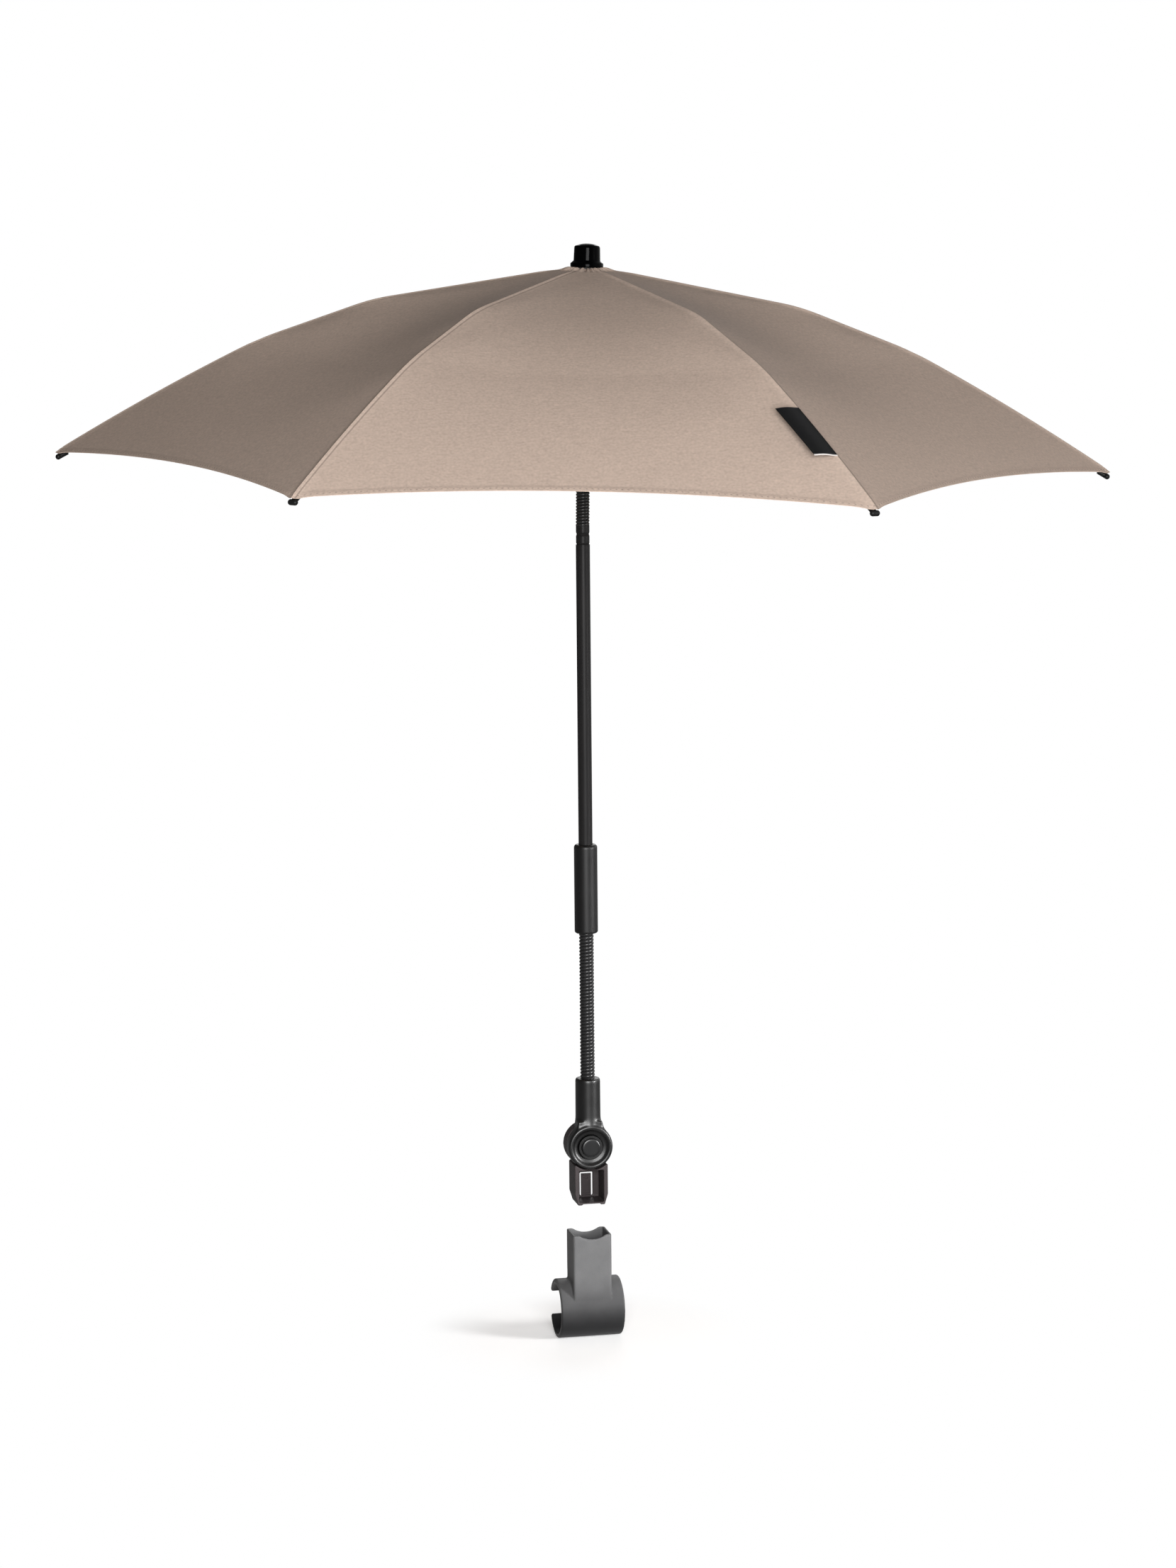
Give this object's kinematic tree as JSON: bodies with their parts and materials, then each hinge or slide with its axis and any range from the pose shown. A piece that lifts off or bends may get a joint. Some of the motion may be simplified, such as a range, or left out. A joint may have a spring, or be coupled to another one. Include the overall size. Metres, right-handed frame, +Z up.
{
  "type": "pram parasol",
  "caption": "Clip-on pram parasol: folding ribbed fabric canopy on a thin shaft with two flexible arms, a push-button tilt joint and a plug-in tube clamp.",
  "frame": {"origin": "centre of the clip's clamp bore", "axes": "+X along the clamped tube, +Z up along the shaft, -Y to the front"},
  "size_m": [0.713, 0.6939, 0.774],
  "materials": {
    "clip_plastic": "matt black moulded nylon with fine grain",
    "plug_plastic": "satin black moulded nylon",
    "knuckle_plastic": "satin black moulded nylon",
    "button_plastic": "satin black push button",
    "spring_steel": "spring wire",
    "plain_steel": "zinc-plated steel",
    "black_coil": "black lacquered close-wound wire",
    "sleeve_plastic": "satin black moulded sleeve",
    "black_tube": "black powder-coated tube",
    "inner_plastic": "black moulded plastic",
    "finial_plastic": "gloss black moulded plastic",
    "canopy_fabric": "taupe plain-weave polyester",
    "tag_weave": "black woven tag with pale selvage",
    "rib_steel": "black lacquered steel",
    "tip_plastic": "black moulded tip"
  },
  "bodies": {
    "clip": {"clip": "clip_plastic"},
    "plug": {"plug_shell": "plug_plastic", "pivot_bolt": "plain_steel", "pivot_nut": "plain_steel", "index_ring": "plain_steel"},
    "latch": {"latch_tongue": "plug_plastic"},
    "knuckle": {"knuckle": "knuckle_plastic", "button_bezel": "button_plastic", "button_spring": "spring_steel", "lower_gooseneck": "black_coil"},
    "button": {"tilt_button": "button_plastic"},
    "shaft": {"coupling_sleeve": "sleeve_plastic", "shaft_tube": "black_tube", "crimp_ferrule": "black_tube", "upper_gooseneck": "black_coil"},
    "crown": {"upper_tube": "black_tube", "tube_socket": "plain_steel", "crown_hub": "inner_plastic", "crown_wire": "spring_steel", "finial": "finial_plastic", "canopy_washer": "finial_plastic", "canopy": "canopy_fabric", "catch_pin": "plain_steel"},
    "runner": {"runner": "inner_plastic"},
    "catch": {"runner_catch": "inner_plastic"},
    "rib_1": {"rib_channel_1": "rib_steel", "rib_rod_1": "rib_steel", "rib_tip_1": "tip_plastic", "rib_rivet_1": "rib_steel"},
    "stretcher_1": {"stretcher_1": "rib_steel"},
    "rib_2": {"rib_channel_2": "rib_steel", "rib_rod_2": "rib_steel", "rib_tip_2": "tip_plastic", "rib_rivet_2": "rib_steel"},
    "stretcher_2": {"stretcher_2": "rib_steel"},
    "rib_3": {"rib_channel_3": "rib_steel", "rib_rod_3": "rib_steel", "rib_tip_3": "tip_plastic", "rib_rivet_3": "rib_steel"},
    "stretcher_3": {"stretcher_3": "rib_steel"},
    "rib_4": {"rib_channel_4": "rib_steel", "rib_rod_4": "rib_steel", "rib_tip_4": "tip_plastic", "rib_rivet_4": "rib_steel"},
    "stretcher_4": {"stretcher_4": "rib_steel"},
    "rib_5": {"rib_channel_5": "rib_steel", "rib_rod_5": "rib_steel", "rib_tip_5": "tip_plastic", "rib_rivet_5": "rib_steel"},
    "stretcher_5": {"stretcher_5": "rib_steel"},
    "rib_6": {"rib_channel_6": "rib_steel", "rib_rod_6": "rib_steel", "rib_tip_6": "tip_plastic", "rib_rivet_6": "rib_steel", "label_tag": "tag_weave"},
    "stretcher_6": {"stretcher_6": "rib_steel"}
  },
  "joints": [
    {"name": "plug_insert", "type": "slide", "parent": "clip", "child": "plug", "axis": [0, 0, -1], "range_m": [0, 0.0494], "deforming": ["latch_tongue"]},
    {"name": "latch_flex", "type": "hinge", "parent": "plug", "child": "latch", "pos_m": [0, 0.00215, 0.0813], "axis": [1, 0, 0], "range_deg": [0, 8], "stiffness_Nm_per_rad": 0.5},
    {"name": "tilt", "type": "hinge", "parent": "plug", "child": "knuckle", "pos_m": [0, -0.0071, 0.1195], "axis": [0, 1, 0], "range_deg": [-90, 90]},
    {"name": "button_press", "type": "slide", "parent": "knuckle", "child": "button", "axis": [0, 1, 0], "range_m": [0, 0.002], "stiffness_N_per_m": 800, "deforming": ["button_spring"]},
    {"name": "lower_bend", "type": "hinge", "parent": "knuckle", "child": "shaft", "pos_m": [0, -0.0071, 0.22], "axis": [1, 0, 0], "range_deg": [-60, 60], "deforming": ["lower_gooseneck"]},
    {"name": "upper_bend", "type": "hinge", "parent": "shaft", "child": "crown", "pos_m": [0, -0.0071, 0.578], "axis": [0.9781, -0.2079, 0], "range_deg": [-45, 45], "deforming": ["upper_gooseneck"]},
    {"name": "runner_slide", "type": "slide", "parent": "crown", "child": "runner", "axis": [-0.0273, 0.0058, -0.9996], "range_m": [0, 0.08479], "deforming": ["canopy", "runner_catch"]},
    {"name": "catch_press", "type": "hinge", "parent": "crown", "child": "catch", "pos_m": [0.00217, -0.0092, 0.6697], "axis": [-0.9778, 0.2078, 0.0279], "range_deg": [0, 12], "stiffness_Nm_per_rad": 0.1},
    {"name": "rib_1_fold", "type": "hinge", "parent": "crown", "child": "rib_1", "pos_m": [0.01543, -0.01038, 0.73086], "axis": [0.2079, 0.9781, 0], "range_deg": [-0.01, 68.01]},
    {"name": "rib_2_fold", "type": "hinge", "parent": "crown", "child": "rib_2", "pos_m": [0.01188, 0.00056, 0.73102], "axis": [-0.7428, 0.6691, 0.0242], "range_deg": [-0.01, 68.01]},
    {"name": "rib_3_fold", "type": "hinge", "parent": "crown", "child": "rib_3", "pos_m": [0.00063, 0.00295, 0.73134], "axis": [-0.9507, -0.3091, 0.0242], "range_deg": [-0.01, 68.01]},
    {"name": "rib_4_fold", "type": "hinge", "parent": "crown", "child": "rib_4", "pos_m": [-0.00706, -0.0056, 0.7315], "axis": [-0.2079, -0.9781, 0], "range_deg": [-0.01, 68.01]},
    {"name": "rib_5_fold", "type": "hinge", "parent": "crown", "child": "rib_5", "pos_m": [-0.00351, -0.01654, 0.73134], "axis": [0.7428, -0.6691, -0.0242], "range_deg": [-0.01, 68.01]},
    {"name": "rib_6_fold", "type": "hinge", "parent": "crown", "child": "rib_6", "pos_m": [0.00774, -0.01893, 0.73102], "axis": [0.9507, 0.3091, -0.0242], "range_deg": [-0.01, 68.01]},
    {"name": "stretcher_1_swing", "type": "hinge", "parent": "rib_1", "child": "stretcher_1", "pos_m": [0.07459, -0.02295, 0.71718], "axis": [-0.2079, -0.9781, 0], "range_deg": [-0.01, 120.4]},
    {"name": "stretcher_2_swing", "type": "hinge", "parent": "rib_2", "child": "stretcher_2", "pos_m": [0.05225, 0.04584, 0.71819], "axis": [0.7428, -0.6691, -0.0242], "range_deg": [-0.01, 120.4]},
    {"name": "stretcher_3_swing", "type": "hinge", "parent": "rib_3", "child": "stretcher_3", "pos_m": [-0.01848, 0.06088, 0.72021], "axis": [0.9507, 0.3091, -0.0242], "range_deg": [-0.01, 120.4]},
    {"name": "stretcher_4_swing", "type": "hinge", "parent": "rib_4", "child": "stretcher_4", "pos_m": [-0.06687, 0.00711, 0.72122], "axis": [0.2079, 0.9781, 0], "range_deg": [-0.01, 120.4]},
    {"name": "stretcher_5_swing", "type": "hinge", "parent": "rib_5", "child": "stretcher_5", "pos_m": [-0.04453, -0.06168, 0.72021], "axis": [-0.7428, 0.6691, 0.0242], "range_deg": [-0.01, 120.4]},
    {"name": "stretcher_6_swing", "type": "hinge", "parent": "rib_6", "child": "stretcher_6", "pos_m": [0.0262, -0.07672, 0.71819], "axis": [-0.9507, -0.3091, 0.0242], "range_deg": [-0.01, 120.4]}
  ],
  "couplings": [
    {"joint": "rib_1_fold", "follows": "runner_slide", "rad_per_m": 13.996},
    {"joint": "rib_2_fold", "follows": "runner_slide", "rad_per_m": 13.996},
    {"joint": "rib_3_fold", "follows": "runner_slide", "rad_per_m": 13.996},
    {"joint": "rib_4_fold", "follows": "runner_slide", "rad_per_m": 13.996},
    {"joint": "rib_5_fold", "follows": "runner_slide", "rad_per_m": 13.996},
    {"joint": "rib_6_fold", "follows": "runner_slide", "rad_per_m": 13.996},
    {"joint": "stretcher_1_swing", "follows": "runner_slide", "rad_per_m": 24.779},
    {"joint": "stretcher_2_swing", "follows": "runner_slide", "rad_per_m": 24.779},
    {"joint": "stretcher_3_swing", "follows": "runner_slide", "rad_per_m": 24.779},
    {"joint": "stretcher_4_swing", "follows": "runner_slide", "rad_per_m": 24.779},
    {"joint": "stretcher_5_swing", "follows": "runner_slide", "rad_per_m": 24.779},
    {"joint": "stretcher_6_swing", "follows": "runner_slide", "rad_per_m": 24.779}
  ]
}
